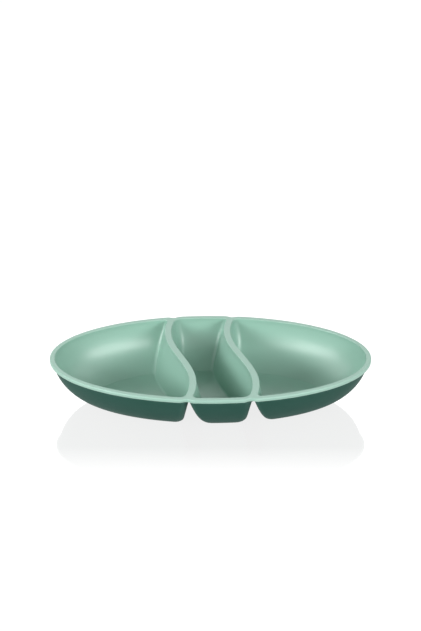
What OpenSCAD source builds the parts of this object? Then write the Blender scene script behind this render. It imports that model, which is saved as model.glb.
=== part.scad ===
// Oval serving bowl with three wells, in two colours.
// A light inner shell carries the rim, the two curved dividers and the wells.
// A dark outer shell covers its whole underside and stands on three flat feet.
// The shells lie against each other all over, except under the wells' floors.
// These lie higher than the feet, and each has a closed space beneath it.
// The origin is on the table, under the middle of the bowl. X runs along it.

/* [Bowl] */
// Length over the rim
bowl_length = 360; // [300:5:420]
// Width over the rim
bowl_width = 180; // [160:5:210]
// Height from the table to the top of the rim
bowl_height = 61; // [50:1:75]

/* [Shells] */
// Wall of the light inner shell
inner_wall = 1.6; // [1.2:0.1:2.2]
// Wall of the dark outer shell
outer_wall = 1.4; // [1:0.1:2]
// How far the light shell has left the dark one at the edge of a well's floor
floor_clearance = 0.6; // [0.4:0.1:1]

/* [Rim] */
// Height of the rim's outer edge
rim_height = 4; // [3:0.5:6]
// How far the rim stands out past the outer shell
rim_overhang = 2.8; // [2.3:0.1:4]
// Rounding of the rim's outer top edge
rim_round = 1.4; // [0.6:0.1:2]
// Rounding of the edge round each well's mouth
mouth_round = 0.9; // [0.4:0.1:1.2]
// Depth of the dip in the rim's outline where a divider meets it
notch_depth = 2.2; // [1:0.1:2.4]
// Width of that dip
notch_width = 16; // [10:1:24]

/* [Wells] */
// How far the outer shell's ends draw in from the rim to the table
end_draw = 64; // [50:1:76]
// How far its long sides draw in
side_draw = 49.5; // [42:0.5:56]
// Height of the wells' floors above the table
floor_height = 9; // [8:0.5:12]
// Radius between a divider's wall and a well's floor
floor_radius = 3; // [2:0.5:5]
// Corner radius of a well
well_corner_radius = 6; // [3:0.5:8]
// Radius between a groove's wall and a foot
foot_radius = 10; // [6:0.5:11]
// Corner radius of the outer shell under the rim
corner_radius = 4.2; // [3:0.2:8]
// Corner radius of a foot
foot_corner_radius = 22; // [12:1:28]

/* [Dividers] */
// Distance between the two dividers' centrelines
divider_spacing = 68.3; // [64:0.1:78]
// How far a divider swings to each side of its straight line
divider_swing = 15.1; // [8:0.1:18]
// Length of one full wave of a divider's curve
divider_wave = 220; // [210:2:280]
// Draft of a divider's walls, degrees
divider_draft = 13.4; // [6:0.1:14]
// Width of the groove under a divider, at its top
groove_width = 1.6; // [0.8:0.1:2]
// Thickness of the outer shell over that groove
groove_roof = 1.4; // [1:0.1:2]

/* [Hidden] */

wall = inner_wall + outer_wall;
half_length = bowl_length / 2;
half_width = bowl_width / 2;
rim_seat = bowl_height - rim_height;
mean_draw = (end_draw + side_draw) / 2;

// The wall's curve from foot to rim is a Bezier.
// Its points are shares of the draw and of the seat's height.
wall_curve_shares = [[1, 0], [0.69, 0.137], [0.14, 0.245], [0, 1]];
// Where a skin's rings lie along that curve, between the shoulder over the
// round of a well's floor and the rim
ring_shares = [0, 0.1, 0.22, 0.36, 0.53, 0.75];
// Where they lie on the round itself, as turns down from level, degrees
round_turns = [90, 62, 36];
// How much closer the points of a ring lie together near a corner
crowding_share = 0.6;
end_crowding = 1.5;
// The two points beside a corner stand off it by this share of a step.
corner_share = 0.35;
// Middle of a side well, as a share of the half length
side_centre_share = 0.45;

// Pieces along a divider, along a long side of the middle well,
// and round the end of a side well
divider_pieces = 16;
middle_pieces = 10;
end_pieces = 30;
// Turn of one facet of the rim's rounded edge, degrees
rim_round_step = 45;

inner_colour = "#B5D1C6";
outer_colour = "#30564C";

tan_draft = tan(divider_draft);
cos_draft = cos(divider_draft);
// How often a search halves its interval
bisections = 26;
// A triangle of a smaller area than this is left out.
smallest_area = 1e-9;

// Plan of the dividers

// Offset of a divider's centreline from its straight line
function swing(y) = -divider_swing * sin(360 * y / divider_wave);
function swing_slope(y) = -divider_swing * 2 * PI / divider_wave * cos(360 * y / divider_wave);
function divider_x(side, y) = side * divider_spacing / 2 + swing(y);

// A line beside the centreline at the given distance
function beside_x(side, away, y) = divider_x(side, y) + away * norm([1, swing_slope(y)]);

// Plan of the rim

function ellipse_y(x, inset) = (half_width - inset) * sqrt(max(0, 1 - pow(x / (half_length - inset), 2)));

// Dip in the outline, where each divider meets it
notch_x = [for (side = [-1, 1]) divider_x(side, ellipse_y(side * divider_spacing / 2, 0))];
function bump(gap) = gap < notch_width / 2 ? (1 + cos(360 * gap / notch_width)) / 2 : 0;
function dip(x) = notch_depth * (bump(abs(x - notch_x[0])) + bump(abs(x - notch_x[1])));
function rim_y(x, inset, dipped) = ellipse_y(x, inset) - (dipped ? dip(x) : 0);

// Where a divider's centreline meets the outline, on the far side
function meeting(side, inset, dipped, low = 0, high = half_width, left = bisections) =
    let (y = (low + high) / 2, x = divider_x(side, y))
    left == 0 ? [x, y] :
    y > rim_y(x, inset, dipped) ? meeting(side, inset, dipped, low, y, left - 1) :
    meeting(side, inset, dipped, y, high, left - 1);

// Spreads steps from 0 to 1 so that they crowd together at both ends.
function eased(share) = share - crowding_share * sin(360 * share) / (2 * PI);
function between(from, to, share) = from + (to - from) * eased(share);
// The same round the bowl's end, whose middle is at a turn of 180
function round_end(from, to, share) =
    share < 0.5 ? from + (180 - from) * pow(2 * share, end_crowding) :
    to - (to - 180) * pow(2 - 2 * share, end_crowding);
function turn_at(from, to, share, end) = end ? round_end(from, to, share) : between(from, to, share);

// The outline between two of its points
function outline_point(turn, inset, dipped) =
    let (x = (half_length - inset) * cos(turn), up = turn >= 0 && turn <= 180 ? 1 : -1)
    [x, up * rim_y(up * x, inset, dipped)];
function outline_turn(point, inset) =
    let (turn = acos(point.x / (half_length - inset))) point.y > 0 ? turn : 360 - turn;
function outline_arc(from, to, pieces, inset, dipped, end) =
    let (first = outline_turn(from, inset), last = outline_turn(to, inset))
    concat([from],
           [for (i = [1 : pieces - 1]) outline_point(turn_at(first, last, i / pieces, end), inset, dipped)],
           [to]);

// The two arcs of the far half: over the middle well, and round the left end
function middle_arc(inset, dipped) =
    outline_arc(meeting(1, inset, dipped), meeting(-1, inset, dipped), middle_pieces, inset, dipped, false);
function end_arc(inset, dipped) =
    outline_arc(meeting(-1, inset, dipped), -meeting(1, inset, dipped), end_pieces, inset, dipped, true);

// A divider's centreline, from the near side to the far side
function centreline(side, inset, dipped) =
    let (far = meeting(side, inset, dipped), near = -meeting(-side, inset, dipped))
    concat([near],
           [for (i = [1 : divider_pieces - 1]) let (y = between(near.y, far.y, i / divider_pieces))
               [divider_x(side, y), y]],
           [far]);

// Section through a wall

// A skin is the face that lies a depth inside the outer shell's face.
// Its bottom is a foot or a well's floor: [height of a floor of no depth,
// height of the middle of the round beside the divider].
foot = [0, foot_radius];
well_floor = [floor_height - wall, floor_height + floor_radius];
function round_radius(bottom, depth) = bottom[1] - bottom[0] - depth;
function round_z(bottom, depth, turn) = bottom[1] - round_radius(bottom, depth) * sin(turn);

function bezier(p, t) =
    p[0] * pow(1 - t, 3) + 3 * p[1] * pow(1 - t, 2) * t + 3 * p[2] * (1 - t) * t * t + p[3] * pow(t, 3);
function bezier_way(p, t) =
    (p[1] - p[0]) * pow(1 - t, 2) + 2 * (p[2] - p[1]) * (1 - t) * t + (p[3] - p[2]) * t * t;

// Lean of the wall at a ring: 0 is level, 90 is upright.
function lean(t) =
    let (way = bezier_way(wall_curve_shares, t)) atan2(way.y * rim_seat, -way.x * mean_draw);

// Height of a place on the skin's wall, and the place at a height
function ring_z(t, depth) = bezier(wall_curve_shares, t).y * rim_seat + depth * cos(lean(t));
function place_at(z, depth, low = 0, high = 1, left = bisections) =
    let (t = (low + high) / 2)
    left == 0 ? t :
    ring_z(t, depth) > z ? place_at(z, depth, low, t, left - 1) : place_at(z, depth, t, high, left - 1);

// How far a ring draws in from the rim's outline: [at the ends, at the sides]
function ring_draw(t, depth) =
    let (share = bezier(wall_curve_shares, t).x, in = rim_overhang + depth * sin(lean(t)))
    [end_draw * share + in, side_draw * share + in];

// Distance from a divider's centreline to its wall, on the same skin.
// The wall's draft runs into the floor with a round.
function drafted_gap(z, depth) = groove_width / 2 + (rim_seat - z) * tan_draft + depth / cos_draft;
function divider_gap(z, depth, bottom) =
    let (round = round_radius(bottom, depth))
    z > round_z(bottom, depth, divider_draft) ? drafted_gap(min(z, rim_seat), depth) :
    drafted_gap(bottom[1], depth + round) - sqrt(max(0, pow(round, 2) - pow(bottom[1] - z, 2)));

// The outer shell's corners grow rounder towards the feet, and a well's stay alike.
// Between them the corners change with the depth, from the place of the wells' floors up.
floor_place = place_at(floor_height, wall);
function outer_corner(t) = corner_radius + (foot_corner_radius - corner_radius) * pow(1 - t, 2);
function ring_corner(t, depth) =
    outer_corner(t) + (well_corner_radius - outer_corner(t)) * depth / wall * min(1, t / floor_place);

// Plan of one ring

// A ring is [half length, half width, gap to the divider, corner radius].
function outside_rim(p, ring) =
    let (k = norm([p.x / ring[0], p.y / ring[1]]),
         steep = norm([p.x / pow(ring[0], 2), p.y / pow(ring[1], 2)]))
    k * (k - 1) / steep;
function outside_divider(p, side, sense, ring) =
    sense * (p.x - divider_x(side, p.y)) / norm([1, swing_slope(p.y)]) + ring[2];

// Distance outside two walls that meet in a round corner
function outside_both(a, b, radius) =
    min(-radius, max(a, b)) + norm([max(a + radius, 0), max(b + radius, 0)]);

// The middle well lies between both dividers, and the left well beside one.
function outside_well(p, middle, ring) =
    let (left = outside_divider(p, -1, middle ? -1 : 1, ring),
         right = middle ? outside_divider(p, 1, 1, ring) : left)
    outside_both(outside_rim(p, ring), max(left, right), ring[3]);

function reach(origin, way, middle, ring, low = 0, high = half_length, left = bisections) =
    let (r = (low + high) / 2)
    left == 0 ? origin + r * way :
    outside_well(origin + r * way, middle, ring) > 0 ? reach(origin, way, middle, ring, low, r, left - 1) :
    reach(origin, way, middle, ring, r, high, left - 1);

// The ring's sharp corner, where a divider's wall would meet the rim's wall
function corner(side, sense, up, ring, low = 0, high = half_width, left = bisections) =
    let (y = up * (low + high) / 2, p = [beside_x(side, -sense * ring[2], y), y])
    left == 0 ? p :
    outside_rim(p, ring) > 0 ? corner(side, sense, up, ring, low, abs(y), left - 1) :
    corner(side, sense, up, ring, abs(y), high, left - 1);

// Steps along a wall, held off its two corners
function steps(pieces) = [for (i = [0 : pieces]) (i + corner_share * (1 - 2 * i / pieces)) / pieces];

// Points of the sharp-cornered ring: along a divider's wall, and along the rim's wall
function wall_points(from, to, side, sense, ring) =
    [for (share = steps(divider_pieces)) let (y = between(from.y, to.y, share))
        [beside_x(side, -sense * ring[2], y), y]];
function ellipse_turn(point, ring) = let (turn = acos(point.x / ring[0])) point.y > 0 ? turn : 360 - turn;
function rim_points(from, to, pieces, ring, end) =
    let (first = ellipse_turn(from, ring), last = ellipse_turn(to, ring))
    [for (share = steps(pieces)) let (turn = turn_at(first, last, share, end))
        [ring[0] * cos(turn), ring[1] * sin(turn)]];

// The ring itself: each point is found from the well's middle towards a sharp one.
function rounded_ring(origin, sharp, middle, ring) =
    [for (p = sharp) reach(origin, (p - origin) / norm(p - origin), middle, ring)];

// Points of a ring, anticlockwise, from corner to corner
function middle_ring(ring) =
    let (near = corner(1, 1, -1, ring), far = corner(1, 1, 1, ring),
         half = concat(wall_points(near, far, 1, 1, ring),
                       rim_points(far, -near, middle_pieces, ring, false)))
    rounded_ring([0, 0], concat(half, turned(half)), true, ring);

function side_ring(ring) =
    let (near = corner(-1, 1, -1, ring), far = corner(-1, 1, 1, ring))
    rounded_ring([-side_centre_share * half_length, 0],
                 concat(wall_points(near, far, -1, 1, ring),
                        rim_points(far, near, end_pieces, ring, true)), false, ring);

function well_ring(middle, ring) = middle ? middle_ring(ring) : side_ring(ring);

// The region of a well out to the outline and the dividers' centrelines.
// The outline's points lie at one height and the centrelines' at another.
function raised(points, z) = [for (p = points) [p.x, p.y, z]];
function turned(points) = [for (p = points) len(p) == 3 ? [-p.x, -p.y, p.z] : [-p.x, -p.y]];
function backwards(points) = [for (i = [len(points) - 1 : -1 : 0]) points[i]];

function middle_border(inset, dipped, arc_z, line_z) =
    let (line = raised(centreline(1, inset, dipped), line_z),
         arc = raised(middle_arc(inset, dipped), arc_z))
    concat(line, arc, turned(line), turned(arc));
function side_border(inset, dipped, arc_z, line_z) =
    concat(raised(centreline(-1, inset, dipped), line_z), raised(end_arc(inset, dipped), arc_z));
function well_border(middle, inset, dipped, arc_z, line_z) =
    middle ? middle_border(inset, dipped, arc_z, line_z) : side_border(inset, dipped, arc_z, line_z);

// One ring of a skin at a place on its wall, drawn in further by a clearance
function skin_ring(middle, t, depth, bottom, clearance = 0) =
    let (z = ring_z(t, depth), draw = ring_draw(t, depth))
    raised(well_ring(middle, [half_length - draw[0] - clearance, half_width - draw[1] - clearance,
        divider_gap(z, depth, bottom), ring_corner(t, depth)]), z);

// Rings over the round beside a divider, from the floor up
function round_rings(middle, depth, bottom, turns, clearance = 0) =
    [for (turn = turns) skin_ring(middle, place_at(round_z(bottom, depth, turn), depth), depth,
        bottom, clearance)];

// Rings from the shoulder of a well's round up to the rim, the same on every skin of a depth
function wall_rings(middle, depth) =
    let (shoulder = place_at(round_z(well_floor, depth, divider_draft), depth))
    [for (share = ring_shares) skin_ring(middle, shoulder + (1 - shoulder) * share, depth, well_floor)];

// The ring where a skin ends under the rim, or at a mouth's edge
function mouth_ring(middle, depth, z, widened) =
    let (in = rim_overhang + depth - widened)
    raised(well_ring(middle, [half_length - in, half_width - in,
        drafted_gap(min(z, rim_seat), depth) - widened, ring_corner(1, depth)]), z);

// The skins, each with its border

// The light shell's open face, up over the mouth's rounded edge
function upper_skin(middle) = concat(
    round_rings(middle, wall, well_floor, round_turns), wall_rings(middle, wall), [
    mouth_ring(middle, wall, rim_seat, 0),
    mouth_ring(middle, wall, bowl_height - mouth_round, 0),
    mouth_ring(middle, wall, bowl_height, mouth_round),
    well_border(middle, rim_round, true, bowl_height, bowl_height)]);

// Where the shells meet, out to a given border
function meeting_rings(middle, inset, dipped) = concat(wall_rings(middle, outer_wall), [
    mouth_ring(middle, outer_wall, rim_seat, 0),
    well_border(middle, inset, dipped, rim_seat, rim_seat)]);

// The light shell's underside leaves the dark shell below the shoulder.
function light_underside(middle) = concat(
    round_rings(middle, outer_wall, well_floor, round_turns, floor_clearance),
    meeting_rings(middle, 0, true));

// The dark shell's two faces, the lower with a groove's roof beside each divider
function foot_rings(middle, depth) =
    round_rings(middle, depth, foot, concat(round_turns, [divider_draft]));
function dark_inside(middle) =
    concat(foot_rings(middle, outer_wall), meeting_rings(middle, rim_overhang, false));
function dark_underside(middle) = concat(foot_rings(middle, 0), wall_rings(middle, 0), [
    mouth_ring(middle, 0, rim_seat - groove_roof, 0),
    well_border(middle, rim_overhang, false, rim_seat, rim_seat - groove_roof)]);

// Triangles from rings

function joined(lists) = [for (list = lists) for (item = list) item];

// Triangles between two closed rings of as many points, seen from above
function ring_faces(low, high, count) = joined([for (i = [0 : count - 1]) let (j = (i + 1) % count)
    [[low + i, high + i, high + j], [low + i, high + j, low + j]]]);
function floor_faces(count) = [for (i = [0 : count - 1]) [0, i + 1, (i + 1) % count + 1]];

// A skin as [points, faces], with its floor's middle first, faces seen from above
function skin(rings) =
    let (count = len(rings[0]), ring = rings[0], mid = [for (axis = [0, 1]) sum(ring, axis) / count])
    [concat([[mid[0], mid[1], ring[0].z]], joined(rings)),
     concat(floor_faces(count),
            joined([for (k = [0 : len(rings) - 2])
                ring_faces(1 + k * count, 1 + (k + 1) * count, count)]))];
function sum(points, axis, i = 0) = i == len(points) ? 0 : points[i][axis] + sum(points, axis, i + 1);

// The same skin turned half round, for the right-hand well
function opposite(skin) = [turned(skin[0]), skin[1]];
// The same skin facing down
function under(skin) = [skin[0], [for (f = skin[1]) backwards(f)]];

// The rim's edge as levels of [inset, height], over the far half and its turn
function edge_loop(inset, z) =
    let (over = middle_arc(inset, true), round = end_arc(inset, true),
         half = concat(raised(over, z), raised(round, z)))
    concat(half, turned(half));
function edge_band(levels) =
    let (loops = [for (level = levels) edge_loop(level[0], level[1])], count = len(loops[0]))
    [joined(loops), joined([for (k = [0 : len(loops) - 2]) ring_faces(k * count, (k + 1) * count, count)])];

// Joins skins into one closed body, and leaves out triangles without area.
function whole(triangle, points) =
    let (a = points[triangle[0]], b = points[triangle[1]], c = points[triangle[2]])
    norm(cross(b - a, c - a)) > 2 * smallest_area;
function starts(skins, i = 0, from = 0) =
    i == len(skins) ? [] : concat([from], starts(skins, i + 1, from + len(skins[i][0])));
module closed_body(skins) {
    first = starts(skins);
    points = joined([for (s = skins) s[0]]);
    faces = joined([for (k = [0 : len(skins) - 1])
        [for (f = skins[k][1]) [for (i = f) i + first[k]]]]);
    polyhedron(points, [for (f = faces) if (whole(f, points)) backwards(f)], convexity = 6);
}

// A skin in all three wells, and the same seen from below
function in_all_wells(middle_rings, side_rings) =
    let (side = skin(side_rings)) [skin(middle_rings), side, opposite(side)];
function all_under(skins) = [for (s = skins) under(s)];

module inner_shell() {
    top = in_all_wells(upper_skin(true), upper_skin(false));
    below = all_under(in_all_wells(light_underside(true), light_underside(false)));
    rounding = [for (turn = [0 : rim_round_step : 90])
        [rim_round * (1 - cos(turn)), bowl_height - rim_round * (1 - sin(turn))]];
    edge = under(edge_band(concat([[0, rim_seat]], rounding)));
    color(inner_colour) closed_body(concat(top, below, [edge]));
}

module outer_shell() {
    top = in_all_wells(dark_inside(true), dark_inside(false));
    below = all_under(in_all_wells(dark_underside(true), dark_underside(false)));
    color(outer_colour) closed_body(concat(top, below));
}

inner_shell();
outer_shell();
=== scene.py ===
"""Looks of an oval serving bowl with three wells, in two colours of plastic.

A pale inner shell carries the rim, the two curved dividers and the wells, and a dark outer
shell covers its underside. Each shell is one closed skin, lofted by Geometry Nodes: the skin
of a well is found ring by ring, from its level floor up to its mouth, between the oval wall
of the bowl and the S-curved flanks of the dividers. Sizes are in metres.
"""
import logging
import math
from dataclasses import dataclass, field
from enum import Enum
from typing import Callable

import bmesh
import bpy
import numpy as np
from mathutils import Matrix, Vector


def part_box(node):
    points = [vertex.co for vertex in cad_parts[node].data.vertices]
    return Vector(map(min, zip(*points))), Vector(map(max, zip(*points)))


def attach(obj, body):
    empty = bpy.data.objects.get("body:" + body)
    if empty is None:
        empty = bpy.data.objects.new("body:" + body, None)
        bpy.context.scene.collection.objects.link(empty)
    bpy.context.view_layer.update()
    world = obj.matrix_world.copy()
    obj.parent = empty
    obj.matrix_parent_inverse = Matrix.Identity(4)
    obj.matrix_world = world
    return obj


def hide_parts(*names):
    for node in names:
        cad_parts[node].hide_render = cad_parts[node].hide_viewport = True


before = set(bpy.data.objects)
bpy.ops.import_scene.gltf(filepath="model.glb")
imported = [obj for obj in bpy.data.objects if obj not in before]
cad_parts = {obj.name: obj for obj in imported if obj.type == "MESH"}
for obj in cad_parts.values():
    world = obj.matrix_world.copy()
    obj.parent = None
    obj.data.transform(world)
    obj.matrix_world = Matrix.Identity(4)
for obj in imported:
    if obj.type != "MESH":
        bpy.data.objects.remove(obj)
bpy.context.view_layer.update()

MM, CM = 0.001, 0.01
SEAM, SLIVER = 0.001 * MM, 0.0001 * MM
SHARP_ANGLE = math.radians(40)
BISECTIONS = 40
WHITE = (1, 1, 1, 1)
LOG = logging.getLogger("serving_bowl")
LEVEL_NAMES = ("half_length", "half_width", "gap", "corner", "height", "reach", "spread")
Level = dict[str, float]
Numbers = np.ndarray | float


class Place(Enum):
    """Which side of the bowl's middle a well lies on."""

    LEFT = -1
    MIDDLE = 0
    RIGHT = 1


# The bowl's plan

@dataclass(frozen=True)
class Plan:
    """Outline of the rim and the curves of the two dividers, seen from above."""

    half_length: float
    half_width: float
    notch_depth: float = 2.2 * MM
    notch_width: float = 16 * MM
    spacing: float = 68.3 * MM
    swing: float = 15.1 * MM
    wave: float = 220 * MM
    divider_pieces: int = 140
    middle_pieces: int = 60
    end_pieces: int = 200
    crowding: float = 0.6

    def divider_x(self, side: int, y: Numbers) -> Numbers:
        """X of a divider's centreline.

        Args:
            side: -1 for the left divider, 1 for the right one.
            y: Place across the bowl.

        Returns:
            X at each y.
        """
        return side * self.spacing / 2 - self.swing * np.sin(2 * np.pi * y / self.wave)

    def dip(self, x: Numbers) -> Numbers:
        """Depth of the dips in the far half of the outline, where the dividers meet it.

        Args:
            x: Place along the bowl.

        Returns:
            The depth at each x.
        """
        depth = 0.0
        for side in (-1, 1):
            oval_y = self.half_width * math.sqrt(1 - (self.spacing / 2 / self.half_length) ** 2)
            gap = np.abs(x - self.divider_x(side, oval_y))
            bump = (1 + np.cos(2 * np.pi * gap / self.notch_width)) / 2
            depth = depth + self.notch_depth * np.where(gap < self.notch_width / 2, bump, 0)
        return depth

    def rim_y(self, x: Numbers, inset: float, dipped: bool) -> Numbers:
        """Y of the far half of the outline.

        Args:
            x: Place along the bowl.
            inset: How far inside the rim's outermost line.
            dipped: Whether the outline follows the dips at the dividers.

        Returns:
            Y at each x.
        """
        share = np.clip(1 - (x / (self.half_length - inset)) ** 2, 0, None)
        oval = (self.half_width - inset) * np.sqrt(share)
        return oval - (self.dip(x) if dipped else 0)

    def meeting(self, side: int, inset: float, dipped: bool) -> np.ndarray:
        """Point on the far side where a divider's centreline meets the outline.

        Args:
            side: -1 for the left divider, 1 for the right one.
            inset: How far inside the rim's outermost line the outline lies.
            dipped: Whether the outline follows the dips at the dividers.

        Returns:
            X and Y of the point.
        """
        low, high = 0.0, self.half_width
        for _ in range(BISECTIONS):
            y = (low + high) / 2
            inside = y < self.rim_y(self.divider_x(side, y), inset, dipped)
            low, high = (y, high) if inside else (low, y)
        return np.array([self.divider_x(side, low), low])

    def eased(self, pieces: int) -> np.ndarray:
        """Shares from 0 to 1 that crowd together towards both ends."""
        share = np.linspace(0, 1, pieces + 1)
        return share - self.crowding * np.sin(2 * np.pi * share) / (2 * np.pi)

    def arc(self, start: np.ndarray, end: np.ndarray, pieces: int, inset: float,
            dipped: bool) -> np.ndarray:
        """Points of the outline, anticlockwise from one of its points to another.

        Args:
            start: The first point.
            end: The last point.
            pieces: How many pieces the arc has.
            inset: How far inside the rim's outermost line the outline lies.
            dipped: Whether the outline follows the dips at the dividers.

        Returns:
            X and Y of each point.
        """
        def turn(point: np.ndarray) -> float:
            """The oval's parameter at a point."""
            angle = math.acos(point[0] / (self.half_length - inset))
            return angle if point[1] > 0 else 2 * np.pi - angle

        turns = turn(start) + (turn(end) - turn(start)) * self.eased(pieces)
        up = np.where(turns <= np.pi, 1, -1)
        x = (self.half_length - inset) * np.cos(turns)
        points = np.column_stack([x, up * self.rim_y(up * x, inset, dipped)])
        points[0], points[-1] = start, end
        return points

    def centreline(self, side: int, inset: float, dipped: bool) -> np.ndarray:
        """Points of a divider's centreline, from the near side to the far side.

        Args:
            side: -1 for the left divider, 1 for the right one.
            inset: How far inside the rim's outermost line the line ends.
            dipped: Whether the outline follows the dips at the dividers.

        Returns:
            X and Y of each point.
        """
        far, near = self.meeting(side, inset, dipped), -self.meeting(-side, inset, dipped)
        y = near[1] + (far[1] - near[1]) * self.eased(self.divider_pieces)
        return np.column_stack([self.divider_x(side, y), y])

    def middle_arc(self, inset: float, dipped: bool) -> np.ndarray:
        """The far arc over the middle well, from right to left."""
        start, end = (self.meeting(side, inset, dipped) for side in (1, -1))
        return self.arc(start, end, self.middle_pieces, inset, dipped)

    def end_arc(self, inset: float, dipped: bool) -> np.ndarray:
        """The arc round the left end, from the far side to the near side."""
        start, end = self.meeting(-1, inset, dipped), -self.meeting(1, inset, dipped)
        return self.arc(start, end, self.end_pieces, inset, dipped)

    def border(self, place: Place, inset: float, dipped: bool, arc_z: float,
               line_z: float) -> np.ndarray:
        """Loop round a well, on the outline and on the dividers' centrelines.

        Args:
            place: Which well.
            inset: How far inside the rim's outermost line its arcs lie.
            dipped: Whether the arcs follow the dips at the dividers.
            arc_z: Height of the arcs.
            line_z: Height of the centrelines.

        Returns:
            The loop's points, anticlockwise.
        """
        if place is Place.MIDDLE:
            line = raised(self.centreline(1, inset, dipped), line_z)
            arc = raised(self.middle_arc(inset, dipped), arc_z)
            return np.concatenate([line, arc, turned(line), turned(arc)])
        line = raised(self.centreline(-1, inset, dipped), line_z)
        loop = np.concatenate([line, raised(self.end_arc(inset, dipped), arc_z)])
        return loop if place is Place.LEFT else turned(loop)

    def outline(self, inset: float, z: float) -> np.ndarray:
        """The whole dipped outline as one loop, anticlockwise."""
        half = np.concatenate([self.middle_arc(inset, True)[:-1], self.end_arc(inset, True)[:-1]])
        return np.concatenate([raised(half, z), turned(raised(half, z))])


def raised(points: np.ndarray, z: float) -> np.ndarray:
    """Plan points lifted to a height."""
    return np.column_stack([points, np.full(len(points), z)])


def turned(points: np.ndarray) -> np.ndarray:
    """Points turned half round the upright axis."""
    return points * np.array([-1, -1, 1])


# Section through the walls

@dataclass(frozen=True)
class Bottom:
    """How a skin ends at the bottom of a well, on a foot or on the well's floor.

    The floor of the skin at a depth lies that depth above the base. The centre is the height
    of the middle of the round that leads from a divider's flank into the floor.
    """

    base: float
    centre: float
    clearance: float = 0.0

    def radius(self, depth: float) -> float:
        """Radius of the round, on the skin at a depth."""
        return self.centre - self.base - depth

    def height(self, depth: float, turn: float) -> float:
        """Height of a place on the round, at a turn down from level."""
        return self.centre - self.radius(depth) * math.sin(turn)


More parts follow.
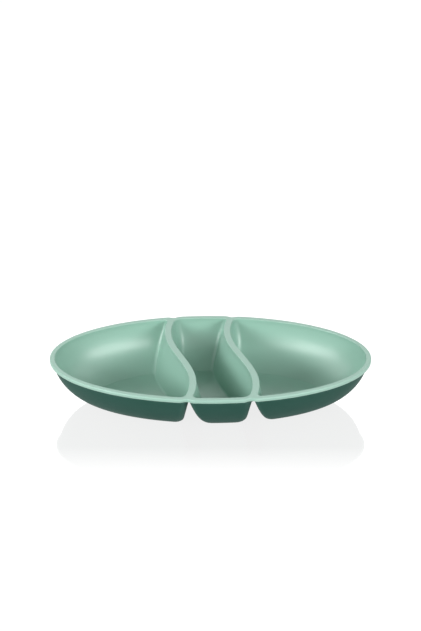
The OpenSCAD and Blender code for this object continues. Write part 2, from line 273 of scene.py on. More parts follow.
@dataclass(frozen=True)
class Section:
    """Heights, walls and roundings of the bowl, seen in a section through a well."""

    plan: Plan
    height: float
    inner_wall: float = 1.6 * MM
    outer_wall: float = 1.4 * MM
    floor_clearance: float = 0.6 * MM
    rim_height: float = 4 * MM
    overhang: float = 2.8 * MM
    rim_round: float = 1.4 * MM
    lower_round: float = 0.5 * MM
    mouth_round: float = 0.9 * MM
    end_draw: float = 64 * MM
    side_draw: float = 49.5 * MM
    wall_curve: tuple[tuple[float, float], ...] = ((1, 0), (0.69, 0.137), (0.14, 0.245), (0, 1))
    floor_height: float = 9 * MM
    floor_radius: float = 3 * MM
    well_corner_radius: float = 6 * MM
    foot_radius: float = 10 * MM
    corner_radius: float = 4.2 * MM
    foot_corner_radius: float = 22 * MM
    draft: float = math.radians(13.4)
    groove_width: float = 1.6 * MM
    groove_roof: float = 1.4 * MM
    floor_shares: tuple[float, ...] = (0, 0.25, 0.5, 0.75, 0.92, 0.985, 1)
    mouth_shares: tuple[float, ...] = (0.5, 0.95)
    crest_shares: tuple[float, ...] = (0.06, 0.94, 1)
    floor_rings: int = 9
    wall_rings: int = 26
    round_rings: int = 5
    wall_reach: float = 0.95
    wall_crowding: float = 1.2

    @property
    def seat(self) -> float:
        """Height of the rim's underside."""
        return self.height - self.rim_height

    @property
    def wall(self) -> float:
        """Thickness of both layers."""
        return self.inner_wall + self.outer_wall

    @property
    def foot(self) -> Bottom:
        """Where the dark shell stands."""
        return Bottom(0.0, self.foot_radius)

    def well_floor(self, clearance: float = 0.0) -> Bottom:
        """The raised floor of a well, whose lower face may stand off the dark shell."""
        return Bottom(self.floor_height - self.wall, self.floor_height + self.floor_radius,
                      clearance)

    def curve(self, t: float) -> np.ndarray:
        """The wall's curve.

        Args:
            t: Place on the curve, 0 at the foot and 1 at the seat.

        Returns:
            Share of the draw and share of the seat's height.
        """
        p = np.array(self.wall_curve, float)
        s = 1 - t
        return s ** 3 * p[0] + 3 * s * s * t * p[1] + 3 * s * t * t * p[2] + t ** 3 * p[3]

    def lean(self, t: float) -> float:
        """Lean of the wall.

        Args:
            t: Place on the wall's curve.

        Returns:
            The angle: 0 is level, a quarter turn is upright.
        """
        p = np.array(self.wall_curve, float)
        s = 1 - t
        way = s * s * (p[1] - p[0]) + 2 * s * t * (p[2] - p[1]) + t * t * (p[3] - p[2])
        return math.atan2(way[1] * self.seat, -way[0] * (self.end_draw + self.side_draw) / 2)

    def wall_z(self, t: float, depth: float) -> float:
        """Height of a place on the wall's curve, on the skin at a depth."""
        return self.curve(t)[1] * self.seat + depth * math.cos(self.lean(t))

    def place_at(self, z: float, depth: float) -> float:
        """Place on the wall's curve where a skin reaches a height.

        Args:
            z: The height.
            depth: How far inside the dark shell's outer face the skin lies.

        Returns:
            The place, 0 at the foot and 1 at the seat.
        """
        low, high = 0.0, 1.0
        for _ in range(BISECTIONS):
            t = (low + high) / 2
            low, high = (low, t) if self.wall_z(t, depth) > z else (t, high)
        return low

    def drafted(self, z: float, depth: float) -> float:
        """Distance from a divider's centreline to its straight flank."""
        rise = (self.seat - min(z, self.seat)) * math.tan(self.draft)
        return self.groove_width / 2 + rise + depth / math.cos(self.draft)

    def gap(self, z: float, depth: float, bottom: Bottom) -> float:
        """Distance from a divider's centreline to its flank, round included.

        Args:
            z: The height.
            depth: How far inside the dark shell's outer face the skin lies.
            bottom: How the skin ends below.

        Returns:
            The distance.
        """
        if z > bottom.height(depth, self.draft):
            return self.drafted(z, depth)
        radius = bottom.radius(depth)
        bow = math.sqrt(max(0.0, radius ** 2 - (bottom.centre - z) ** 2))
        return self.drafted(bottom.centre, depth + radius) - bow

    def corner(self, t: float, depth: float) -> float:
        """Corner radius, which grows towards a foot but stays alike in a well.

        Args:
            t: Place on the wall's curve.
            depth: How far inside the dark shell's outer face the skin lies.

        Returns:
            The radius.
        """
        outer = self.corner_radius + (self.foot_corner_radius - self.corner_radius) * (1 - t) ** 2
        share = depth / self.wall * min(1.0, t / self.place_at(self.floor_height, self.wall))
        return outer + (self.well_corner_radius - outer) * share

    def level(self, inset: tuple[float, float], gap: float, corner: float, height: float,
              reach: float = 1.0, spread: float = 0.0) -> Level:
        """One ring of a well's skin, as the values that the loft reads.

        Args:
            inset: How far the oval lies inside the rim's, along the bowl and across it.
            gap: Distance from a divider's centreline to its flank.
            corner: Radius of the corners between the oval and the flanks.
            height: The ring's height.
            reach: Share of the way out from the well's middle.
            spread: Share of the way from the ring to the well's border.

        Returns:
            The ring's values.
        """
        return dict(half_length=self.plan.half_length - inset[0],
                    half_width=self.plan.half_width - inset[1],
                    gap=gap, corner=corner, height=height, reach=reach, spread=spread)

    def wall_level(self, t: float, depth: float, bottom: Bottom,
                   reach: float = 1.0) -> Level:
        """The ring at a place on the wall's curve, or a share of it on the floor.

        Args:
            t: Place on the wall's curve.
            depth: How far inside the dark shell's outer face the skin lies.
            bottom: How the skin ends below.
            reach: Share of the way out from the well's middle.

        Returns:
            The ring's values.
        """
        draw, z = self.curve(t)[0], self.wall_z(t, depth)
        inside = self.overhang + depth * math.sin(self.lean(t)) + bottom.clearance
        inset = (self.end_draw * draw + inside, self.side_draw * draw + inside)
        return self.level(inset, self.gap(z, depth, bottom), self.corner(t, depth), z, reach)

    def mouth_level(self, depth: float, z: float, widened: float = 0.0,
                    spread: float = 0.0) -> Level:
        """A ring at or above the seat, or part of the way from it to the border.

        Args:
            depth: How far inside the dark shell's outer face the skin lies.
            z: The ring's height.
            widened: How far the rounded mouth has opened.
            spread: Share of the way from the ring to the well's border.

        Returns:
            The ring's values.
        """
        inset = self.overhang + depth - widened
        return self.level((inset, inset), self.drafted(z, depth) - widened,
                          self.corner(1, depth), z, spread=spread)

    def walls(self, depth: float, bottom: Bottom, rings: int) -> list[Level]:
        """Rings of the floor, the round and the wall of a skin, from the middle out.

        Args:
            depth: How far inside the dark shell's outer face the skin lies.
            bottom: How the skin ends below.
            rings: How many rings the wall has above the round.

        Returns:
            The rings' values.
        """
        turns = np.linspace(math.pi / 2, self.draft, self.floor_rings + 1)
        places = [self.place_at(bottom.height(depth, turn), depth) for turn in turns]
        shares = np.linspace(0, 1, rings + 1)[1:] ** self.wall_crowding
        higher = places[-1] + (1 - places[-1]) * shares * self.wall_reach
        floor = [self.wall_level(places[0], depth, bottom, share) for share in self.floor_shares]
        flank = [self.wall_level(t, depth, bottom) for t in places[1:-1]]
        tight = Bottom(bottom.base, bottom.centre)
        return floor + flank + [self.wall_level(t, depth, tight) for t in (places[-1], *higher)]

    def food_side(self) -> list[Level]:
        """The open face of a well, over its rounded mouth and out to the rim.

        Returns:
            The rings' values.
        """
        lip = self.rim_height - self.mouth_round
        levels = self.walls(self.wall, self.well_floor(), self.wall_rings)
        levels += [self.mouth_level(self.wall, self.seat + lip * share)
                   for share in (0, *self.mouth_shares)]
        for turn in np.linspace(0, np.pi / 2, self.round_rings + 1):
            levels.append(self.mouth_level(
                self.wall, self.height - self.mouth_round * (1 - math.sin(turn)),
                self.mouth_round * (1 - math.cos(turn))))
        return levels + [self.mouth_level(self.wall, self.height, self.mouth_round, share)
                         for share in self.crest_shares]

    def between_shells(self, bottom: Bottom, rings: int) -> list[Level]:
        """The face where the shells meet, out to the border.

        Args:
            bottom: How the face ends below.
            rings: How many rings its wall has.

        Returns:
            The rings' values.
        """
        return self.walls(self.outer_wall, bottom, rings) + [
            self.mouth_level(self.outer_wall, self.seat),
            self.mouth_level(self.outer_wall, self.seat, spread=1)]

    def underside(self) -> list[Level]:
        """The dark face of a well, up to the rim and to the roof of the groove.

        Returns:
            The rings' values.
        """
        roof = self.seat - self.groove_roof
        return self.walls(0, self.foot, self.wall_rings) + [
            self.mouth_level(0, roof), self.mouth_level(0, roof, spread=1)]

    def rim_edge(self) -> list[tuple[float, float]]:
        """Outer edge of the rim.

        Returns:
            Inset and height of its points, from the top down.
        """
        over = [(self.rim_round * (1 - math.sin(a)),
                 self.height - self.rim_round * (1 - math.cos(a)))
                for a in np.linspace(0, np.pi / 2, self.round_rings + 1)]
        under = [(self.lower_round * (1 - math.cos(a)),
                  self.seat + self.lower_round * (1 - math.sin(a)))
                 for a in np.linspace(0, np.pi / 2, self.round_rings)]
        return over + under


# Node trees

class Value:
    """A number that varies over a mesh, as the output of a node, with arithmetic."""

    def __init__(self, tree: bpy.types.NodeTree, socket: bpy.types.NodeSocket) -> None:
        """Wraps a socket of a tree."""
        self.tree = tree
        self.socket = socket

    def math(self, operation: str, *others: "Value | float") -> "Value":
        """A Math node on this value and others.

        Args:
            operation: The node's operation.
            others: Its further inputs.

        Returns:
            The node's result.
        """
        node = self.tree.nodes.new("ShaderNodeMath")
        node.operation = operation
        for socket, other in zip(node.inputs, (self, *others)):
            plug(self.tree, socket, other)
        return Value(self.tree, node.outputs[0])

    def __add__(self, other: "Value | float") -> "Value":
        """Sum."""
        return self.math("ADD", other)

    def __sub__(self, other: "Value | float") -> "Value":
        """Difference."""
        return self.math("SUBTRACT", other)

    def __mul__(self, other: "Value | float") -> "Value":
        """Product."""
        return self.math("MULTIPLY", other)

    def __truediv__(self, other: "Value | float") -> "Value":
        """Quotient."""
        return self.math("DIVIDE", other)

    def __neg__(self) -> "Value":
        """The value with its sign changed."""
        return self.math("MULTIPLY", -1)

    def most(self, other: "Value | float") -> "Value":
        """The larger of two values."""
        return self.math("MAXIMUM", other)

    def least(self, other: "Value | float") -> "Value":
        """The smaller of two values."""
        return self.math("MINIMUM", other)

    def root(self) -> "Value":
        """Square root."""
        return self.math("SQRT")

    def span(self, other: "Value") -> "Value":
        """Length of the slope over two legs."""
        return (self * self + other * other).root()

    def towards(self, other: "Value", share: "Value") -> "Value":
        """Part of the way from this value to another."""
        return self + (other - self) * share


def plug(tree: bpy.types.NodeTree, socket: bpy.types.NodeSocket, what: object) -> None:
    """Links a value or a socket to an input, or sets the input's number.

    Args:
        tree: The tree that both belong to.
        socket: The input.
        what: A Value, a socket, or a plain value.
    """
    if isinstance(what, Value):
        tree.links.new(what.socket, socket)
    elif isinstance(what, bpy.types.NodeSocket):
        tree.links.new(what, socket)
    else:
        socket.default_value = what


class NodeMaker:
    """A tree of nodes under construction."""

    def __init__(self, tree: bpy.types.NodeTree) -> None:
        """Starts with a tree."""
        self.tree = tree

    def value(self, socket: bpy.types.NodeSocket) -> Value:
        """A node's output as a value."""
        return Value(self.tree, socket)

    def node(self, kind: str, settings: dict[str, object] | None = None,
             **inputs: object) -> bpy.types.Node:
        """A node with its settings and inputs.

        Args:
            kind: The node's type.
            settings: Attributes of the node.
            inputs: Its inputs by name, with _ for a space.

        Returns:
            The node.
        """
        made = self.tree.nodes.new(kind)
        for key, value in (settings or {}).items():
            setattr(made, key, value)
        for key, value in inputs.items():
            plug(self.tree, made.inputs[key.replace("_", " ")], value)
        return made


class LoftTree(NodeMaker):
    """A Geometry Nodes tree that turns a loop and a profile into a skin."""

    MERGED = 0.0005 * MM

    def __init__(self, name: str, sizes: tuple[str, ...]) -> None:
        """Starts the tree.

        Args:
            name: The tree's name.
            sizes: Names of its inputs that are plain numbers.
        """
        super().__init__(bpy.data.node_groups.new(name, "GeometryNodeTree"))
        self.identifiers: dict[str, str] = {}
        kinds = [("Loop", "Geometry"), ("Profile", "Object"), ("Material", "Material")]
        for title, kind in kinds + [(size, "Float") for size in sizes]:
            socket = self.tree.interface.new_socket(
                name=title, in_out="INPUT", socket_type="NodeSocket" + kind)
            self.identifiers[title] = socket.identifier
        self.tree.interface.new_socket(
            name="Skin", in_out="OUTPUT", socket_type="NodeSocketGeometry")
        self.inputs = self.tree.nodes.new("NodeGroupInput")

    def size(self, title: str) -> Value:
        """An input of the tree as a value."""
        return self.value(self.inputs.outputs[title])

    def points_in(self, geometry: bpy.types.NodeSocket) -> Value:
        """How many points a geometry has.

        Args:
            geometry: The geometry.

        Returns:
            The number.
        """
        made = self.node("GeometryNodeAttributeDomainSize", {"component": "MESH"},
                         Geometry=geometry)
        return self.value(made.outputs["Point Count"])

    def named(self, name: str) -> Value:
        """A named attribute of the geometry that is worked on."""
        read = self.node("GeometryNodeInputNamedAttribute", {"data_type": "FLOAT"}, Name=name)
        return self.value(read.outputs["Attribute"])

    def sampled(self, geometry: bpy.types.NodeSocket, name: str, index: Value) -> Value:
        """A named attribute of one geometry, read at an index.

        Args:
            geometry: Where the attribute is.
            name: The attribute's name.
            index: Which point is read.

        Returns:
            The attribute's value there.
        """
        made = self.node("GeometryNodeSampleIndex", {"data_type": "FLOAT", "domain": "POINT"},
                         Geometry=geometry, Value=self.named(name), Index=index)
        return self.value(made.outputs["Value"])

    def place_in(self, geometry: bpy.types.NodeSocket, index: Value) -> list[Value]:
        """X, Y and Z of one point of a geometry.

        Args:
            geometry: Where the point is.
            index: Which point is read.

        Returns:
            The three values.
        """
        here = self.node("GeometryNodeInputPosition").outputs["Position"]
        made = self.node("GeometryNodeSampleIndex",
                         {"data_type": "FLOAT_VECTOR", "domain": "POINT"},
                         Geometry=geometry, Value=here, Index=index)
        parts = self.node("ShaderNodeSeparateXYZ", Vector=made.outputs["Value"])
        return [self.value(socket) for socket in parts.outputs]

    def grid(self) -> tuple[bpy.types.NodeSocket, bpy.types.NodeSocket, Value, Value]:
        """A grid with a column for each point of the loop and a row for each level.

        Returns:
            The grid, the profile's geometry, the column as an index round the closed loop,
            and the row.
        """
        loop = self.inputs.outputs["Loop"]
        info = self.node("GeometryNodeObjectInfo", {"transform_space": "ORIGINAL"},
                         Object=self.inputs.outputs["Profile"])
        profile = info.outputs["Geometry"]
        columns, rows = self.points_in(loop), self.points_in(profile)
        made = self.node("GeometryNodeMeshGrid", Vertices_X=columns + 1.0, Vertices_Y=rows)
        index = self.value(self.node("GeometryNodeInputIndex").outputs["Index"])
        column = ((index + 0.5) / rows).math("FLOOR")
        return made.outputs["Mesh"], profile, column.math("MODULO", columns), index - column * rows

    def close(self, geometry: bpy.types.NodeSocket, place: list[Value]) -> None:
        """Sets each point's place and ends the tree.

        Args:
            geometry: The grid.
            place: X, Y and Z of its points.
        """
        point = self.node("ShaderNodeCombineXYZ", X=place[0], Y=place[1], Z=place[2])
        moved = self.node("GeometryNodeSetPosition", Geometry=geometry,
                          Position=point.outputs["Vector"])
        joined = self.node("GeometryNodeMergeByDistance", Geometry=moved.outputs["Geometry"],
                           Distance=self.MERGED)
        smooth = self.node("GeometryNodeSetShadeSmooth", Geometry=joined.outputs["Geometry"])
        real = self.node("GeometryNodeRealizeInstances", Geometry=smooth.outputs["Geometry"])
        dressed = self.node("GeometryNodeSetMaterial", Geometry=real.outputs["Geometry"],
                            Material=self.inputs.outputs["Material"])
        self.node("NodeGroupOutput", Skin=dressed.outputs["Geometry"])

    def run(self, holder: bpy.types.Object, profile: bpy.types.Object,
            material: bpy.types.Material, **sizes: float) -> bpy.types.Mesh:
        """Runs the tree on a loop.

        Args:
            holder: Object whose points are the closed loop. It is used up.
            profile: Object whose points are the levels.
            material: The skin's material.
            sizes: The tree's inputs by name, with _ for a space.

        Returns:
            The skin as a plain mesh.
        """
        modifier = holder.modifiers.new("loft", "NODES")
        modifier.node_group = self.tree
        modifier[self.identifiers["Profile"]] = profile
        modifier[self.identifiers["Material"]] = material
        for title, value in sizes.items():
            modifier[self.identifiers[title.replace("_", " ")]] = float(value)
        graph = bpy.context.evaluated_depsgraph_get()
        skin = bpy.data.meshes.new_from_object(holder.evaluated_get(graph))
        remove(holder)
        return skin


class WellLoft(LoftTree):
    """Finds each ring of a well's skin between the oval wall and the dividers' flanks.

    Every point of the grid moves out from inside the well, towards its point of the loop drawn
    in to the size of the ring, until it meets the walls. In the middle well it starts on the
    curve midway between the dividers. A repeat zone halves its step each time.
    """

    HALVINGS = 24
    RAY = "ray"

    def __init__(self) -> None:
        """Builds the tree."""
        super().__init__("well_loft", ("Middle X", "Search", "Half Width", "Spine", "Spacing",
                                       "Swing", "Wave", "Two"))
        grid, profile, column, row = self.grid()
        border = self.place_in(self.inputs.outputs["Loop"], column)
        level = {name: self.sampled(profile, name, row) for name in LEVEL_NAMES}
        middle = self.size("Middle X")
        drawn = level["half_width"] / self.size("Half Width")
        start, end = (self.drawn_in(border, middle, share)
                      for share in (drawn * self.size("Spine"), drawn))
        way = [at - begin for begin, at in zip(start, end)]
        far = way[0].span(way[1])
        way = [part / far for part in way]
        half = self.size("Search") * 0.5
        found = self.halved(self.kept(grid, half), half * 0.5, start, way, level)
        ray = self.named(self.RAY)
        found_at = [at + part * ray for at, part in zip(start, way)]
        ring = [*self.drawn_in(found_at, middle, level["reach"]), level["height"]]
        place = [at.towards(end, level["spread"]) for at, end in zip(ring, border)]
        self.close(found, place)

    def drawn_in(self, place: list[Value], middle: Value, share: Value) -> list[Value]:
        """A place drawn in towards the well's middle, along the well's curve.

        Args:
            place: The place, along the bowl and across it.
            middle: The well's middle along the bowl.
            share: Which share of its way from the middle it keeps.

        Returns:
            The place drawn in.
        """
        x, y = place[:2]
        return [middle + (x - middle - self.swing(y)) * share + self.swing(y * share), y * share]

    def swing(self, y: Value) -> Value:
        """How far the middle well's own curve lies to the side.

        Args:
            y: Place across the bowl.

        Returns:
            The shift along the bowl, or nothing in a side well.
        """
        return -self.size("Swing") * self.turn_at(y).math("SINE") * self.size("Two")

    def turn_at(self, y: Value) -> Value:
        """Turn of the dividers' wave at a place across the bowl."""
        return y / self.size("Wave") * (2 * math.pi)

    def kept(self, grid: bpy.types.NodeSocket, ray: Value) -> bpy.types.NodeSocket:
        """Stores each point's distance from where it set out.

        Args:
            grid: The grid.
            ray: The distances.

        Returns:
            The grid with its distances.
        """
        made = self.node("GeometryNodeStoreNamedAttribute", {"data_type": "FLOAT"},
                         Geometry=grid, Name=self.RAY, Value=ray)
        return made.outputs["Geometry"]

    def halved(self, grid: bpy.types.NodeSocket, step: Value, start: list[Value],
               way: list[Value], level: dict[str, Value]) -> bpy.types.NodeSocket:
        """The repeat zone that moves each point onto the walls.

        Args:
            grid: The grid with its first distances.
            step: The first step.
            start: Where each point sets out.
            way: Each point's direction.
            level: The values of each point's ring.

        Returns:
            The grid with its distances found.
        """
        zone = self.tree.nodes.new("GeometryNodeRepeatInput")
        ends = self.tree.nodes.new("GeometryNodeRepeatOutput")
        zone.pair_with_output(ends)
        ends.repeat_items.new("FLOAT", "Step")
        zone.inputs["Iterations"].default_value = self.HALVINGS
        plug(self.tree, zone.inputs["Geometry"], grid)
        plug(self.tree, zone.inputs["Step"], step)
        pace = self.value(zone.outputs["Step"])
        ray = self.named(self.RAY)
        over = self.outside(start[0] + way[0] * ray, start[1] + way[1] * ray, level)
        moved = self.kept(zone.outputs["Geometry"], ray - over.math("SIGN") * pace)
        plug(self.tree, ends.inputs["Geometry"], moved)
        plug(self.tree, ends.inputs["Step"], pace * 0.5)
        return ends.outputs["Geometry"]

    def outside(self, x: Value, y: Value, level: dict[str, Value]) -> Value:
        """Distance outside a well's ring: negative inside it.

        Args:
            x: Place along the bowl.
            y: Place across it.
            level: The values of the ring.

        Returns:
            The distance, with the corners between the walls rounded.
        """
        long, wide = level["half_length"], level["half_width"]
        share = (x / long).span(y / wide)
        steep = (x / (long * long)).span(y / (wide * wide))
        oval = share * (share - 1.0) / steep
        turn = self.turn_at(y)
        slope = self.size("Swing") / self.size("Wave") * (2 * math.pi) * turn.math("COSINE")
        steepness = (slope * slope + 1.0).root()
        line = x + self.size("Swing") * turn.math("SINE")
        half_spacing = self.size("Spacing") * 0.5
        left = (line + half_spacing) / steepness
        two = self.size("Two")
        near_left = left.towards(-left, two) + level["gap"]
        near_right = (line - half_spacing) / steepness + level["gap"]
        flank = near_left.most(near_left.towards(near_right, two))
        radius = level["corner"]
        corner = (oval + radius).most(0.0).span((flank + radius).most(0.0))
        return oval.most(flank).least(-radius) + corner


class EdgeLoft(LoftTree):
    """Sweeps the rounded edge of the rim along the outline.

    A level's share goes from the loop at 0 to the loop shrunk by one inset at 1, so the edge
    follows the outline and its dips exactly.
    """

    def __init__(self) -> None:
        """Builds the tree."""
        super().__init__("edge_loft", ())
        grid, profile, column, row = self.grid()
        loop = self.inputs.outputs["Loop"]
        outer = self.place_in(loop, column)
        inner = [self.sampled(loop, name, column) for name in ("inner_x", "inner_y")]
        share = self.sampled(profile, "share", row)
        plan = [at.towards(end, share) for at, end in zip(outer, inner)]
        self.close(grid, [*plan, self.sampled(profile, "height", row)])


# Meshes

def link(thing: bpy.types.Object) -> bpy.types.Object:
    """Puts an object into the scene."""
    bpy.context.scene.collection.objects.link(thing)
    return thing


def remove(thing: bpy.types.Object) -> None:
    """Removes a helper object."""
    bpy.data.objects.remove(thing)


def points_object(name: str, points: np.ndarray,
                  values: dict[str, np.ndarray] | None = None) -> bpy.types.Object:
    """An object of loose points that carry values.

    Args:
        name: The object's name.
        points: Its points.
        values: A number at each point, by name.

    Returns:
        The object, linked to the scene.
    """
    mesh = bpy.data.meshes.new(name)
    mesh.from_pydata([tuple(map(float, p)) for p in points], [], [])
    for title, numbers in (values or {}).items():
        made = mesh.attributes.new(title, "FLOAT", "POINT")
        made.data.foreach_set("value", np.asarray(numbers, np.float32))
    return link(bpy.data.objects.new(name, mesh))


def profile_object(levels: list[Level]) -> bpy.types.Object:
    """The levels of a skin as an object that a loft reads."""
    values = {name: np.array([level[name] for level in levels]) for name in levels[0]}
    return points_object("profile", np.zeros((len(levels), 3)), values)


def joined(name: str, skins: list[bpy.types.Mesh],
           material: bpy.types.Material) -> bpy.types.Object:
    """One closed body from its skins.

    Args:
        name: The body's name.
        skins: Meshes whose borders meet point for point.
        material: The body's material.

    Returns:
        The body, with its faces outwards.
    """
    body = bmesh.new()
    for skin in skins:
        body.from_mesh(skin)
        bpy.data.meshes.remove(skin)
    bmesh.ops.remove_doubles(body, verts=body.verts, dist=SEAM)
    bmesh.ops.dissolve_degenerate(body, dist=SLIVER, edges=body.edges)
    bmesh.ops.recalc_face_normals(body, faces=body.faces)
    if body.calc_volume(signed=True) < 0:
        bmesh.ops.reverse_faces(body, faces=body.faces)
    open_edges = sum(1 for edge in body.edges if not edge.is_manifold)
    triangles = sum(len(face.verts) - 2 for face in body.faces)
    LOG.info("%s: %d triangles, %d open edges, %.1f cm3", name, triangles, open_edges,
             body.calc_volume() / CM ** 3)
    mesh = bpy.data.meshes.new(name)
    body.to_mesh(mesh)
    body.free()
    mesh.materials.clear()
    mesh.materials.append(material)
    mesh.set_sharp_from_angle(angle=SHARP_ANGLE)
    return link(bpy.data.objects.new(name, mesh))


# The two shells

@dataclass
class Shells:
    """What both shells are lofted with."""

    plan: Plan
    section: Section
    wells: WellLoft = field(default_factory=WellLoft)
    side_middle: float = 0.45
    spine: float = 0.7

    def skins(self, levels: list[Level], border: Callable[[Place], np.ndarray],
              material: bpy.types.Material) -> list[bpy.types.Mesh]:
        """The three wells of one face.

        Args:
            levels: The face's rings.
            border: Gives the loop round a well.
            material: The face's material.

        Returns:
            A mesh for each well.
        """
        profile = profile_object(levels)
        made = []
        for place in Place:
            side, loop = place.value, border(place)
            turn = place is Place.RIGHT
            holder = points_object("loop", turned(loop) if turn else loop)
            skin = self.wells.run(
                holder, profile, material,
                Middle_X=-self.side_middle * self.plan.half_length * abs(side),
                Search=self.plan.half_length, Half_Width=self.plan.half_width,
                Spine=0 if side else self.spine,
                Spacing=self.plan.spacing, Swing=self.plan.swing, Wave=self.plan.wave,
                Two=place is Place.MIDDLE)
            if turn:
                skin.transform(Matrix.Diagonal((-1, -1, 1, 1)))
            made.append(skin)
        remove(profile)
        return made


@dataclass
class InnerShell:
    """The pale shell: rim, crests of the dividers and the food side of the wells."""

    shells: Shells
    edge_loft: EdgeLoft = field(default_factory=EdgeLoft)
    hidden_rings: int = 12

    def edge(self, material: bpy.types.Material) -> bpy.types.Mesh:
        """The rounded outer edge of the rim.

        Args:
            material: The shell's plastic.

        Returns:
            The edge's skin.
        """
        section, plan = self.shells.section, self.shells.plan
        top, low = section.rim_round, section.lower_round
        profile = profile_object([dict(share=(top - inset) / (top - low), height=z)
                                  for inset, z in section.rim_edge()])
        inner = plan.outline(low, section.seat)
        holder = points_object("loop", plan.outline(top, section.height),
                               {"inner_x": inner[:, 0], "inner_y": inner[:, 1]})
        mesh = self.edge_loft.run(holder, profile, material)
        remove(profile)
        return mesh

    def build(self, material: bpy.types.Material) -> bpy.types.Object:
        """Builds the shell.

        Args:
            material: Its plastic.

        Returns:
            The finished body.
        """
        section, plan = self.shells.section, self.shells.plan
        food = self.shells.skins(
            section.food_side(),
            lambda place: plan.border(place, section.rim_round, True, section.height,
                                      section.height), material)
        back = self.shells.skins(
            section.between_shells(section.well_floor(section.floor_clearance),
                                   self.hidden_rings),
            lambda place: plan.border(place, section.lower_round, True, section.seat,
                                      section.seat), material)
        return joined("pale_inner_shell", [*food, *back, self.edge(material)], material)


@dataclass
class OuterShell:
    """The dark shell: the underside, the grooves under the dividers and the feet."""

    shells: Shells
    hidden_rings: int = 12

    def build(self, material: bpy.types.Material) -> bpy.types.Object:
        """Builds the shell.

        Args:
            material: Its plastic.

        Returns:
            The finished body.
        """
        section, plan = self.shells.section, self.shells.plan
        roof = section.seat - section.groove_roof
        face = self.shells.skins(
            section.underside(),
            lambda place: plan.border(place, section.overhang, False, section.seat, roof),
            material)
        back = self.shells.skins(
            section.between_shells(section.foot, self.hidden_rings),
            lambda place: plan.border(place, section.overhang, False, section.seat,
                                      section.seat), material)
        return joined("dark_outer_shell", [*face, *back], material)


# Finishes

class ShaderTree(NodeMaker):
    """A shader tree or a shader node group under construction."""

    def place(self) -> bpy.types.NodeSocket:
        """A point's place on its piece."""
        return self.node("ShaderNodeTexCoord").outputs["Object"]

    def along(self, axis: str) -> bpy.types.NodeSocket:
        """A point's place on its piece along one axis."""
        return self.node("ShaderNodeSeparateXYZ", Vector=self.place()).outputs[axis]

    def mixed(self, share: object, first: object, second: object) -> bpy.types.NodeSocket:
        """A colour between two others.

        Args:
            share: How far it lies towards the second.
            first: The colour at 0.
            second: The colour at 1.

        Returns:
            The mixed colour.
        """
        made = self.tree.nodes.new("ShaderNodeMix")
        made.data_type = "RGBA"
        colours = [socket for socket in made.inputs if socket.type == "RGBA"]
        plug(self.tree, made.inputs[0], share)
        plug(self.tree, colours[0], first)
        plug(self.tree, colours[1], second)
        return next(socket for socket in made.outputs if socket.type == "RGBA")

    def ranged(self, value: object, low: object, high: object, to_low: object = 0.0,
               to_high: object = 1.0) -> bpy.types.NodeSocket:
        """A value stretched from one range to another.

        Args:
            value: The value.
            low: Where its range starts.
            high: Where its range ends.
            to_low: What it becomes at the start.
            to_high: What it becomes at the end.

        Returns:
            The stretched value.
        """
        made = self.tree.nodes.new("ShaderNodeMapRange")
        for socket, number in zip(made.inputs, (value, low, high, to_low, to_high)):
            plug(self.tree, socket, number)
        return made.outputs[0]


def emptied(holder: bpy.types.Material | bpy.types.World) -> ShaderTree:
    """The shader tree of a material or a world, emptied.

    Args:
        holder: What the tree belongs to.

    Returns:
        The tree.
    """
    holder.use_nodes = True
    holder.node_tree.nodes.clear()
    return ShaderTree(holder.node_tree)


def effect(name: str, inputs: dict[str, float], outputs: tuple[str, ...]) -> ShaderTree:
    """An empty shader node group.

    Args:
        name: The group's name.
        inputs: Its numbers and their usual values.
        outputs: Names of the masks that it puts out.

    Returns:
        The group, ready for its nodes.
    """
    tree = bpy.data.node_groups.new(name, "ShaderNodeTree")
    for title, value in inputs.items():
        socket = tree.interface.new_socket(name=title, in_out="INPUT",
                                           socket_type="NodeSocketFloat")
        socket.default_value = value
    for title in outputs:
        tree.interface.new_socket(name=title, in_out="OUTPUT", socket_type="NodeSocketFloat")
    return ShaderTree(tree)


@dataclass(frozen=True)
class MouldedGrain:
    """Fine satin grain, slow flow marks and hazy patches of a moulded surface."""

    grain: float = 1400
    flow: float = 9
    haze: float = 24
    drawn: tuple[float, float, float] = (0.35, 1.0, 2.2)
    twist: float = 0.6
    details: tuple[float, float, float] = (2.0, 3.0, 4.0)
    contrast: tuple[float, float] = (0.3, 0.7)

    def group(self) -> bpy.types.NodeTree:
        """Builds the effect.

        Returns:
            The shader node group, which puts out a height and masks of flow and haze.
        """
        group = effect("moulded_grain",
                       {"Grain": self.grain, "Flow": self.flow, "Haze": self.haze},
                       ("Height", "Flow", "Haze"))
        sizes = group.node("NodeGroupInput").outputs
        place = group.place()
        drawn = group.node("ShaderNodeMapping", Vector=place, Scale=self.drawn)
        grain, flow, haze = (
            group.node("ShaderNodeTexNoise", Vector=where, Scale=sizes[title], Detail=detail,
                       Distortion=twist).outputs[0]
            for where, title, detail, twist in zip(
                (place, drawn.outputs["Vector"], place), ("Grain", "Flow", "Haze"),
                self.details, (0.0, self.twist, 0.0)))
        group.node("NodeGroupOutput", Height=grain,
                   Flow=group.ranged(flow, *self.contrast),
                   Haze=group.ranged(haze, *self.contrast))
        return group.tree


